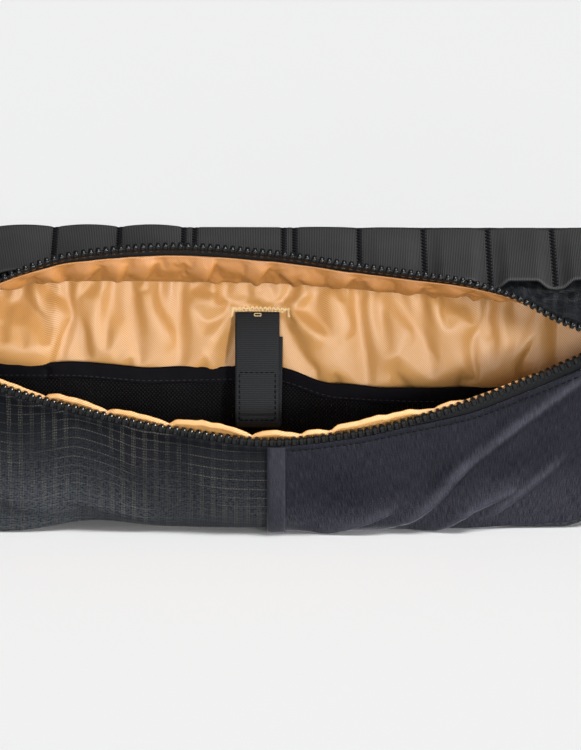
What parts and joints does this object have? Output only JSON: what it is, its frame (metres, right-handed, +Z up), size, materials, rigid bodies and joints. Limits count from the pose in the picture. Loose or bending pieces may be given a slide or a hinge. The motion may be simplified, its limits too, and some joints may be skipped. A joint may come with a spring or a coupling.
{
  "type": "bicycle frame bag",
  "caption": "Long wedge-shaped cloth bag for a bicycle frame, unzipped along one side, with a tan lining, an inner mesh pocket and looped webbing along its top.",
  "frame": {"origin": "middle of the flat base, on the surface that the bag stands on", "axes": "+X forward along the bag, towards its more slanted end; -Y towards the zipped side; +Z up"},
  "size_m": [0.42, 0.0821, 0.1329],
  "materials": {
    "ripstop": "charcoal ripstop with a pale grid of doubled threads",
    "stretch": "dark blue-grey stretch cloth with fine upright streaks",
    "hem": "folded dark stretch band",
    "lining": "tan twill with a soft sheen",
    "mesh": "black knitted mesh",
    "binding": "black elastic binding",
    "strap": "dark ribbed webbing",
    "webbing": "grey webbing ribbed across its width",
    "zip": "black moulded teeth on black tape",
    "slider": "black painted metal"
  },
  "bodies": {
    "root": {"back_panel": "ripstop", "gusset": "ripstop", "top_panel": "ripstop", "front_lip": "ripstop", "front_panel": "ripstop", "zip_stop_tab": "ripstop", "stretch_pocket": "stretch", "pocket_hem": "hem", "lining_back": "lining", "lining_gusset": "lining", "lining_top": "lining", "lining_front": "lining", "lining_lip": "lining", "mesh_pocket": "mesh", "mesh_binding": "binding", "key_strap": "strap", "top_webbing": "webbing", "zip_upper": "zip", "zip_lower": "zip", "zip_slider": "slider"}
  },
  "joints": []
}
